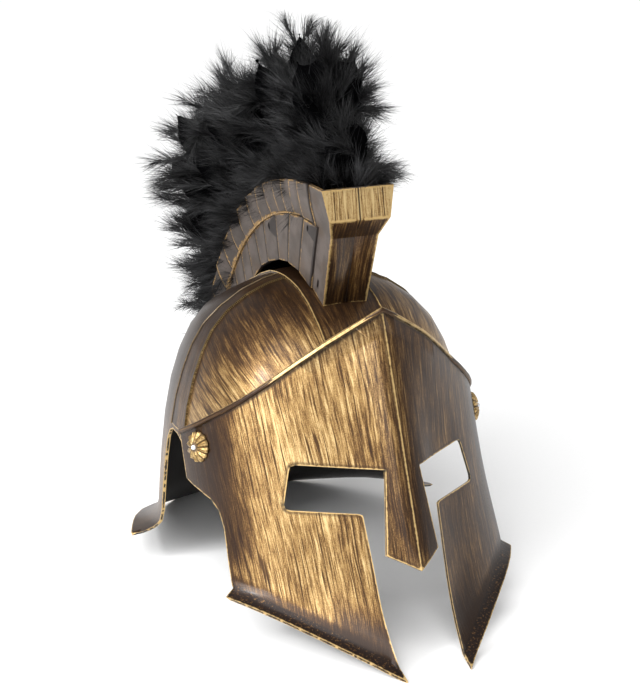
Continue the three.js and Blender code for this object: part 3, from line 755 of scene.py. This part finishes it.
def turned_about_axis(q):
    """Angle in degrees and radius of points about the crest's axis."""
    y, z = q[..., 1] - CREST_AXIS["y"], q[..., 2] - CREST_AXIS["z"]
    return np.degrees(np.arctan2(z, y)), np.hypot(y, z)


def crease_radius(angle):
    return float(column(CREST_PROFILE, angle, 1))


def top_radius(angle):
    return float(column(CREST_PROFILE, angle, 2))


def crest_half(angle, r):
    """Half width of the crest's side at an angle and radius."""
    crease, top = crease_radius(angle), top_radius(angle)
    shoulder = crease + (top - crease) * 0.46
    return np.interp(r, [103, crease, shoulder, top], [
        CREST_HALF["foot"], CREST_HALF["crease"], CREST_HALF["shoulder"], CREST_HALF["top"]])


def skull_tree():
    """The skull's solid, ready to be hit by lines."""
    bm = bmesh.new()
    bm.from_mesh(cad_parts["skull"].data)
    tree = BVHTree.FromBMesh(bm)
    bm.free()
    return tree


def on_skull(tree, start, heading):
    """Outermost point of the skull on a line from inside it, and its normal."""
    heading = Vector(heading).normalized()
    far = Vector(in_frame(start)) + heading * 0.3
    spot, normal, _, _ = tree.ray_cast(far, -heading)
    if spot is None:
        return None
    if normal.dot(heading) < 0:
        normal = -normal
    return in_drawing(spot), np.array(normal)


def strip_plate(name, rows, bevel, across=(0.6, 0.6, 0.6, 0.6)):
    """Closed plate through rows of four corners: base and top of its front edge,
    then top and base of its rear edge; across marks how far back a corner lies."""
    vertices = [corner for row in rows for corner in row]
    faces = [(0, 1, 2, 3), tuple(4 * (len(rows) - 1) + k for k in (3, 2, 1, 0))]
    for i in range(len(rows) - 1):
        for k in range(4):
            a, b = 4 * i + k, 4 * i + (k + 1) % 4
            faces.append((a, a + 4, b + 4, b))
    piece = outward(mesh_piece(name, vertices, faces))
    write(piece, "across", list(across) * len(rows))
    return modifier(piece, "BEVEL", width=bevel * MM, segments=2, limit_method="ANGLE",
                    angle_limit=math.radians(50))


def side_plate(name, front, rear, low, high, lift, levels=4):
    """Plate on the crest's side between two slanted lines; each line is an
    (angle at low, angle at high) pair, low and high give radii by angle, and lift
    says how proud the front and the rear edge stand."""
    rows = []
    for k in range(levels + 1):
        t = k / levels
        corners = []
        for line, rise in ((front, lift[0]), (rear, lift[1])):
            angle = line[0] + (line[1] - line[0]) * t
            a, b = low(line[0]), high(line[1])
            r = a + (b - a) * t
            half = crest_half(angle, r)
            base, proud = polar(half - 0.5, angle, r), polar(half + rise, angle, r)
            corners += [base, proud] if line is front else [proud, base]
        rows.append(corners)
    return strip_plate(name, rows, 0.3, across=(0, 0, 1, 1))


def wider(line, by):
    return [angle + by for angle in line]


def inner_planks(foot):
    """Planks from the foot to the crease, with the rivet holes that fall on them."""
    pieces = []
    for k, (front, rear) in enumerate(zip(INNER_PLANKS, INNER_PLANKS[1:])):
        if any(foot(line[0]) > crease_radius(line[1]) - 3 for line in (front, rear)):
            continue
        plank = side_plate(f"plank_{k}", wider(front, -PLATE_GAP), wider(rear, PLATE_GAP),
                           foot, lambda a: crease_radius(a) - 0.6, (1.6, 2.3))
        for angle, r in RIVET_HOLES:
            if rear[0] + 1 < angle < front[1] - 1:
                cut_rivet_hole(plank, angle, r)
        pieces.append(plank)
    return pieces


def outer_plates(foot):
    """Shingled plates of the flared zone, from the crease to the top."""
    return [
        side_plate(f"plate_{k}", wider(front, -PLATE_GAP), wider(rear, PLATE_GAP),
                   lambda a: max(crease_radius(a) + 0.9, foot(a)),
                   lambda a: top_radius(a) + 0.5, (1.5, 3.2), levels=6)
        for k, (front, rear) in enumerate(zip(OUTER_PLATES, OUTER_PLATES[1:]))
        if foot(rear[0]) <= top_radius(rear[1]) - 4
    ]


def crest_ledge():
    """Bead along the crease, thinner towards the block."""
    rows = []
    for angle in np.linspace(8, 92, 43):
        r, thin = crease_radius(angle), float(np.interp(angle, [70, 92], [1, 0.35]))
        half = crest_half(angle, r)
        rows.append([polar(half + out, angle, r + up) for out, up in (
            (-0.4, -1.1 * thin), (3.6 * thin, -0.9 * thin),
            (3.7 * thin, 1.1 * thin), (-0.4, 1.3 * thin))])
    return strip_plate("ledge", rows, 0.25)


def crest_plates(tree):
    """Planks of the inner zone, plates of the flared zone and the ledge between."""
    def foot(angle):
        t = math.radians(angle)
        hit = on_skull(tree, polar(16.5, angle, 60), (0, math.cos(t), math.sin(t)))
        reach = 0 if hit is None else turned_about_axis(hit[0])[1] + 0.2
        return max(reach, float(column(CREST_UNDERSIDE, angle, 1)) + 0.3)

    pieces = inner_planks(foot) + outer_plates(foot) + [crest_ledge()]
    return join("crest_plates_left", pieces)


def cut_rivet_hole(piece, angle, r):
    """Slot through the plank, longer along the crest's radius."""
    bpy.ops.object.select_all(action="DESELECT")
    bpy.ops.mesh.primitive_cylinder_add(vertices=20, radius=0.95 * MM, depth=16 * MM)
    cutter = bpy.context.object
    cutter.data.transform(Matrix.Scale(2.1, 4, (0, 1, 0)))
    t = math.radians(angle)
    out = Vector((0, math.cos(t), math.sin(t)))
    axes = Matrix((out.cross(Vector((1, 0, 0))), out, Vector((1, 0, 0)))).transposed().to_4x4()
    middle = Vector(in_frame(polar(crest_half(angle, r), angle, r)))
    cutter.data.transform(Matrix.Translation(middle) @ axes)
    modifier(piece, "BOOLEAN", operation="DIFFERENCE", object=cutter, solver="EXACT")
    bpy.data.objects.remove(cutter)


def finish_crest(piece):
    """Writes what the finishes read: the block's brushing, painted shade and dirt in and
    round the rivet holes, and on the shell the seam between the halves."""
    shell = "shell" in piece.name
    q = in_drawing(points_of(piece))
    turned, r = turned_about_axis(q)
    write(piece, "flow", strokes(q[:, 0], -r) * MM)
    write(piece, "shade", np.interp(r, *BLOCK_SHADE))
    write_same(piece, 0, "hem")
    # On the shell, back from the block's front and above the arch, inner is set: it is painted
    # near-black as shade showing through the gaps between the plates.
    write(piece, "inner", (1 - step(101.2, 101.9, turned)) * (r > 104) * shell)
    # Dark in and round each rivet hole: painted shade inside the hole, and dirt round it.
    for angle, radius in RIVET_HOLES:
        hole = polar(crest_half(angle, radius) + 1.5, angle, radius)
        away = np.linalg.norm((q - hole)[:, 1:], axis=1)
        rewrite(piece, "edge", lambda edge: np.where(away < 3, FAR, edge))
        rewrite(piece, "corner", lambda corner: np.where(away < 2.1, 0, corner))
    if shell:
        write_same(piece, 0.6, "across")
        seam = step(2.5, 1.5, q[:, 0])
        rewrite(piece, "edge", lambda edge: edge * (1 - seam) + FAR * seam)
        line = np.maximum(q[:, 0] - 0.3, 0) * MM * 3 + 0.0003
        line = np.where(r > BLOCK_HEAD, line, FAR)
        rewrite(piece, "corner", lambda corner: np.where(q[:, 0] < 5, line, corner))
    return piece


def on_block_front(middle, normal):
    return turned_about_axis(middle)[0] > BLOCK_FRONT and normal[1] < -0.6


def make_crest(tree):
    left = sharpen(copy_of("crest_left", "crest_shell_left"), angle=25, longest=2.4)
    plates = sharpen(crest_plates(tree), angle=30, longest=1.6)
    return [finish_crest(piece) for piece in (left, plates)]


# --------------------------------------------------------------- dome bands

def raised_band(name, rows, rise):
    """Strip that stands off the skull, with a proud bead along both edges; rows
    hold (point, normal) pairs from edge to edge."""
    n = len(rows[0])
    shares = np.minimum(np.arange(n), np.arange(n)[::-1]) / (n - 1)
    lifts = np.interp(shares, [0] + [t for t, _ in BEAD], [-0.4] + [rise * h for _, h in BEAD])
    vertices = [point + normal * lift for row in rows for (point, normal), lift in zip(row, lifts)]
    under = len(vertices)
    vertices += [point - normal * 0.6 for row in rows for point, normal in (row[0], row[-1])]
    faces = [(i * n + k, i * n + k + 1, (i + 1) * n + k + 1, (i + 1) * n + k)
             for i in range(len(rows) - 1) for k in range(n - 1)]
    for i in range(len(rows) - 1):
        a, b = i * n, (i + 1) * n
        c, d = under + 2 * i, under + 2 * (i + 1)
        faces += [(a, b, d, c), (b + n - 1, a + n - 1, c + 1, d + 1), (c, d, d + 1, c + 1)]
    for i in (0, len(rows) - 1):
        faces.append((*range(i * n, (i + 1) * n), under + 2 * i + 1, under + 2 * i))
    return outward(mesh_piece(name, vertices, faces))


def spine_band(tree):
    """Broad band over the dome from back to front, under the crest."""
    rows = []
    for angle in np.linspace(-4, 134, 90):
        t = math.radians(angle)
        half = SPINE_BAND["half"] + np.interp(angle, [60, 134], [0, 1.8])
        row = [on_skull(tree, polar((2 * f - 1) * half, angle, 20), (0, math.cos(t), math.sin(t)))
               for f in BAND_STEPS]
        if all(row):
            rows.append(row)
    return raised_band("spine_band", rows, SPINE_BAND["rise"])


def ear_band(tree):
    """Band from the top of the dome down to the left ear, wider at its foot."""
    rows = []
    for turned in np.linspace(12, 92, 60):
        t = math.radians(turned)
        front, rear = EAR_BAND["front"], float(column(EAR_BAND_REAR, turned, 1))
        row = [on_skull(tree, (0, front + (rear - front) * f, 112), (math.sin(t), 0, math.cos(t)))
               for f in BAND_STEPS]
        if all(row) and row[0][0][2] > 113.5:
            rows.append(row)
    return raised_band("ear_band_left", rows, EAR_BAND["rise"])


def finish_band(piece):
    """Gives a band the dome's brushing, worn along its beads."""
    sharpen(piece, angle=24, longest=2.2)
    q = in_drawing(points_of(piece))
    write(piece, "flow", dome_flow(q) * MM)
    write(piece, "shade", dome_shade(q) * 0.8 + 0.25)
    write_same(piece, 0, "hem", "inner")
    return piece


def make_bands(tree):
    spine = finish_band(spine_band(tree))
    ear = finish_band(ear_band(tree))
    return spine, ear, mirrored(ear, "ear_band_right")


# ------------------------------------------------------------------ rosettes

def make_rosette(node, name):
    """Domed flower of ridged petals on the solid's own place, with its stone."""
    co = points_of(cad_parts[node])
    middle = co.mean(0)
    axes = np.linalg.svd(co - middle)[2]
    normal = axes[2] * np.sign(axes[2][0] * middle[0])
    base = ((co - middle) @ normal).min()
    origin = middle + normal * base
    u = unit(np.cross(normal, (0, 0, 1.0)))
    v = np.cross(normal, u)
    petals, steps = ROSETTE["petals"], ROSETTE["steps"]
    vertices = []
    for share, height in ROSETTE_RINGS:
        for k in range(steps):
            t = 2 * math.pi * k / steps
            lobe = abs(math.cos(petals * t / 2)) ** 0.55
            ridge = math.exp(-((math.sin(petals * t / 2)) / 0.22) ** 2)
            body = step(0.2, 0.4, share)
            r = ROSETTE["radius"] * share * (1 - 0.11 * (1 - lobe) * step(0.6, 0.95, share))
            h = height + body * (1.5 * lobe - 1.2 + 0.5 * ridge) * step(0.0, 1.2, height)
            p = origin + (u * math.cos(t) * r + v * math.sin(t) * r + normal * max(0, h)) * MM
            vertices.append(in_drawing(p))
    faces = closed_rings(len(ROSETTE_RINGS), steps)
    flower = sharpen(outward(mesh_piece(name, vertices, faces)), angle=40, longest=1.6)
    bpy.ops.object.select_all(action="DESELECT")
    bpy.ops.mesh.primitive_uv_sphere_add(
        segments=20, ring_count=12, radius=ROSETTE["stone"] * MM)
    stone = bpy.context.object
    stone.name = stone.data.name = name.replace("rosette", "rosette_stone")
    stone.data.transform(Matrix.Translation(origin + normal * ROSETTE_RINGS[-1][1] * MM))
    bpy.ops.object.shade_smooth()
    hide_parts(node)
    return flower, stone


# --------------------------------------------------------------------- plume

def away_from_tray(points):
    """Headings in which the plume grows at the points."""
    line = np.array([polar(0, angle, top_radius(angle) - 10) for angle in range(14, 108, 2)])
    nearest = line[np.linalg.norm(points[:, None, :] - line[None], axis=2).argmin(1)]
    return unit(points - nearest)


def seeds_on_plume(rng, count):
    """Random places on the solid's skin with their normals."""
    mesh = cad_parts["plume"].data
    mesh.calc_loop_triangles()
    corners = np.array([[mesh.vertices[i].co for i in t.vertices] for t in mesh.loop_triangles])
    a, b, c = (in_drawing(corners[:, k]) for k in range(3))
    normal = np.cross(b - a, c - a)
    area = np.linalg.norm(normal, axis=1)
    at = rng.choice(len(a), count, p=area / area.sum())
    u, v = rng.uniform(0, 1, (2, count, 1))
    u, v = np.where(u + v > 1, 1 - u, u), np.where(u + v > 1, 1 - v, v)
    return a[at] + (b[at] - a[at]) * u + (c[at] - a[at]) * v, unit(normal[at])


def quills(rng, count):
    """Start, heading and length of the feathers: most of them stand in the plume's
    skin, some along the tray, where those near the block are shorter."""
    spot, normal = seeds_on_plume(rng, count)
    flow = away_from_tray(spot)
    end_on = (normal * flow).sum(1, keepdims=True).clip(0, 1)
    heading = unit(normal * 0.3 + flow * 0.75 + rng.normal(0, 0.32, (count, 3)))
    start = spot - normal * (3 + 9 * end_on) - flow * rng.uniform(7, 16, (count, 1))
    length = rng.uniform(15, 25, count)
    long = rng.uniform(0, 1, count) < LONG_SHARE
    length[long] *= 1.35
    low = rng.uniform(0, 1, count) < TRAY_SHARE
    for k in np.flatnonzero(low):
        angle = rng.uniform(12, 107)
        side = rng.choice([-1, 1])
        near_block = step(70, 107, angle)
        tilt = math.radians(rng.uniform(5, 84)) * side * (1 - 0.4 * near_block)
        t = math.radians(angle + rng.uniform(-25, 18))
        heading[k] = (math.sin(tilt), math.cos(tilt) * math.cos(t), math.cos(tilt) * math.sin(t))
        start[k] = polar(side * rng.uniform(0, 17), angle, top_radius(angle) - 5)
        length[k] = rng.uniform(13, 25) * (1 - 0.35 * near_block)
    return start, heading, length


def feather_barbs(rng, start, heading, length, count):
    """Ribbons of the barbs of one feather: (count, steps + 1, 2, 3) points."""
    s = np.linspace(0, 1, QUILL_STEPS + 1)[:, None]
    bow = unit(rng.normal(size=3)) * rng.uniform(0.1, 0.4) + np.array([0, 0.05, -0.15])
    quill = start + heading * length * s + bow * length * s ** 2
    where = rng.uniform(0.05, 1.0, count)
    cell = np.minimum((where * QUILL_STEPS).astype(int), QUILL_STEPS - 1)
    f = (where * QUILL_STEPS - cell)[:, None]
    root = quill[cell] * (1 - f) + quill[cell + 1] * f
    along = unit(quill[cell + 1] - quill[cell])
    flat = unit(np.cross(heading, rng.normal(size=3)))
    side = unit(flat * rng.choice([-1, 1], (count, 1)) + rng.normal(0, 0.45, (count, 3)))
    lean = np.radians(rng.uniform(16, 50, count))[:, None]
    barb = unit(along * np.cos(lean) + side * np.sin(lean))
    reach = (rng.uniform(9, 24, count) * (1.15 - 0.45 * where))[:, None, None]
    s = np.linspace(0, 1, BARB_STEPS + 1)[None, :, None]
    bend = unit(rng.normal(size=(count, 3))) * rng.uniform(0.05, 0.38, count)[:, None]
    curl = bend + (along * 0.3 - side * 0.12)
    path = root[:, None] + (barb[:, None] * s + curl[:, None] * s ** 2) * reach
    across = unit(np.cross(barb, unit(rng.normal(size=(count, 3)))))[:, None]
    width = rng.uniform(0.11, 0.24, count)[:, None, None] * (1.05 - 0.85 * s)
    return np.stack([path - across * width, path + across * width], axis=2)


def kept_within(points):
    """Eases points that pass the part's own box back towards it."""
    low, high = (in_drawing(corner) for corner in CAD_BOX)
    past = np.maximum(points - (high - BOX_MARGIN), 0)
    short = np.maximum((low + BOX_MARGIN) - points, 0)
    return (points - past + BOX_EASE * (1 - np.exp(-past / BOX_EASE))
            + short - BOX_EASE * (1 - np.exp(-short / BOX_EASE)))


def ribbon_piece(name, ribbons, tone):
    """One mesh of many flat ribbons, each with a pointed tip."""
    count, rows = ribbons.shape[:2]
    points = np.concatenate([ribbons[:, :-1].reshape(count, -1, 3),
                             ribbons[:, -1].mean(axis=1, keepdims=True)], axis=1)
    vertices = in_frame(kept_within(points.reshape(-1, 3)))
    quads = [k + 2 * row for row in range(rows - 2) for k in (0, 1, 3, 2)]
    corners = np.array(quads + [2 * rows - 4, 2 * rows - 3, 2 * rows - 2])
    loops = np.arange(count)[:, None] * (2 * rows - 1) + corners
    starts = np.arange(count)[:, None] * len(corners) + 4 * np.arange(rows - 1)
    mesh = bpy.data.meshes.new(name)
    mesh.vertices.add(len(vertices))
    mesh.vertices.foreach_set("co", vertices.astype(np.float32).ravel())
    mesh.loops.add(loops.size)
    mesh.loops.foreach_set("vertex_index", loops.astype(np.int32).ravel())
    mesh.polygons.add(starts.size)
    mesh.polygons.foreach_set("loop_start", starts.astype(np.int32).ravel())
    mesh.update(calc_edges=True)
    piece = linked(name, mesh)
    # Tone drops to 0.45 of itself at each barb's root: painted shade deep in the plume, over the
    # random tone.
    along = np.tile(np.repeat(np.linspace(0, 1, rows), 2)[:-1], count)
    write(piece, "tone", np.repeat(tone, 2 * rows - 1) * (0.45 + 0.55 * along))
    return piece


def make_plume():
    """A near-black core that keeps the solid's form, as painted shadow in the plume's
    depth under the barbs, and the barbs in a few pieces.
    """
    rng = np.random.default_rng(PLUME_SEED)
    barbs = []
    for k in range(PLUME_PIECES):
        start, heading, length = quills(rng, FEATHERS_A_PIECE)
        bundles, tones = [], []
        for row in zip(start, heading, length):
            bundles.append(feather_barbs(rng, *row, BARBS_A_FEATHER))
            tones.append(rng.uniform(0, 1) ** 1.5 * 0.6 + rng.uniform(0, 0.4, BARBS_A_FEATHER))
        barbs.append(ribbon_piece(
            f"plume_feathers_{k + 1}", np.concatenate(bundles), np.concatenate(tones)))
    body = copy_of("plume", "plume_body")
    modifier(body, "REMESH", mode="VOXEL", voxel_size=3.5 * MM)
    modifier(body, "SMOOTH", factor=0.7, iterations=14)
    modifier(body, "DISPLACE", strength=-4 * MM, mid_level=0)
    modifier(body, "SMOOTH", factor=0.5, iterations=4)
    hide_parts("plume")
    return body, barbs


# ------------------------------------------------------------------ assembly

bronze = brushed("brushed_bronze")
block_bronze = brushed("block_bronze", reach=0.0016, rim_share=0.1)
grey = grey_look()
gilt = gilt_look()
stone_gloss = stone_look()
feather = feather_look()

tree = skull_tree()
for piece in (make_visor(), make_rim(), make_skull(), *make_bands(tree)):
    dress(piece, bronze)

for piece in make_crest(tree):
    twin = mirrored(piece, piece.name.replace("left", "right"))
    for part in (piece, twin):
        front = face_flags(part, on_block_front)
        dress(part, grey, block_bronze, front)
for side in ("left", "right"):
    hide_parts(f"crest_{side}")

for side in ("left", "right"):
    flower, stone = make_rosette(f"rosette_{side}", f"rosette_flower_{side}")
    dress(flower, gilt)
    dress(stone, stone_gloss)

body, barbs = make_plume()
# The core is painted shadow: near-black where the plume's depth lies in shade.
dress(body, shadow_look())
for piece in barbs:
    dress(piece, feather)

# -------------------------------------------------------------------- studio

AIM = Vector((0.0, 0.0, 0.19))


def softbox(name, place, size, power):
    """Square lamp that faces the object."""
    lamp = bpy.data.lights.new(name, "AREA")
    lamp.size = size
    lamp.energy = power
    turned = (Vector(place) - AIM).to_track_quat("Z", "Y").to_matrix().to_4x4()
    linked(name, lamp).matrix_world = Matrix.Translation(place) @ turned


softbox("key", (-1.35, -0.35, 0.75), 0.55, 17)
softbox("glint", (-1.205, -0.221, 0.96), 0.16, 5)
softbox("front", (-0.9, -1.9, 1.2), 0.9, 14)
softbox("side_right", (1.7, 0.5, 0.6), 1.2, 2.5)

lamp = bpy.data.lights.new("overhead", "SUN")
lamp.energy = 2.5
lamp.angle = math.radians(50)
sun = linked("overhead", lamp)
sun.rotation_euler = Vector((-0.55, -0.5, 1.0)).to_track_quat("Z", "Y").to_euler()

# White behind the floor, half as bright as a light on the object.
world = bpy.data.worlds.new("studio")
bpy.context.scene.world = world
world.use_nodes = True
sky = world.node_tree.nodes["Background"]
sky.inputs["Color"].default_value = (1, 1, 1, 1)
ray = world.node_tree.nodes.new("ShaderNodeLightPath")
glow = world.node_tree.nodes.new("ShaderNodeMapRange")
glow.inputs["To Min"].default_value = 0.5
world.node_tree.links.new(ray.outputs["Is Camera Ray"], glow.inputs["Value"])
world.node_tree.links.new(glow.outputs["Result"], sky.inputs["Strength"])

bpy.ops.object.select_all(action="DESELECT")
bpy.ops.mesh.primitive_plane_add(size=60)
floor = bpy.context.object
floor.name = "floor"
floor_look = Look("floor_paper", Base_Color=(0.9, 0.9, 0.9, 1), Roughness=0.9)
paper = floor_look.noise(floor_look.place(), scale=300.0, detail=2.0)
floor.data.materials.append(floor_look.feed(
    Base_Color=floor_look.mix(paper, (0.89, 0.89, 0.89), (0.92, 0.92, 0.92))))

# -------------------------------------------------------------------- camera

CAMERA_PLACE = [-497.886, -1087.005, 541.508]

camera = linked("camera", bpy.data.cameras.new("camera"))
camera.data.lens = 97.05
camera.data.sensor_width = 36
turn, lift = math.radians(-24), math.radians(17.13087)
back = Vector((math.sin(turn) * math.cos(lift), -math.cos(turn) * math.cos(lift), math.sin(lift)))
right = Vector((math.cos(turn), math.sin(turn), 0))
axes = Matrix((right, back.cross(right), back)).transposed().to_4x4()
camera.matrix_world = Matrix.Translation(in_frame(CAMERA_PLACE)) @ axes
bpy.context.scene.camera = camera
bpy.context.scene.view_settings.view_transform = "Standard"
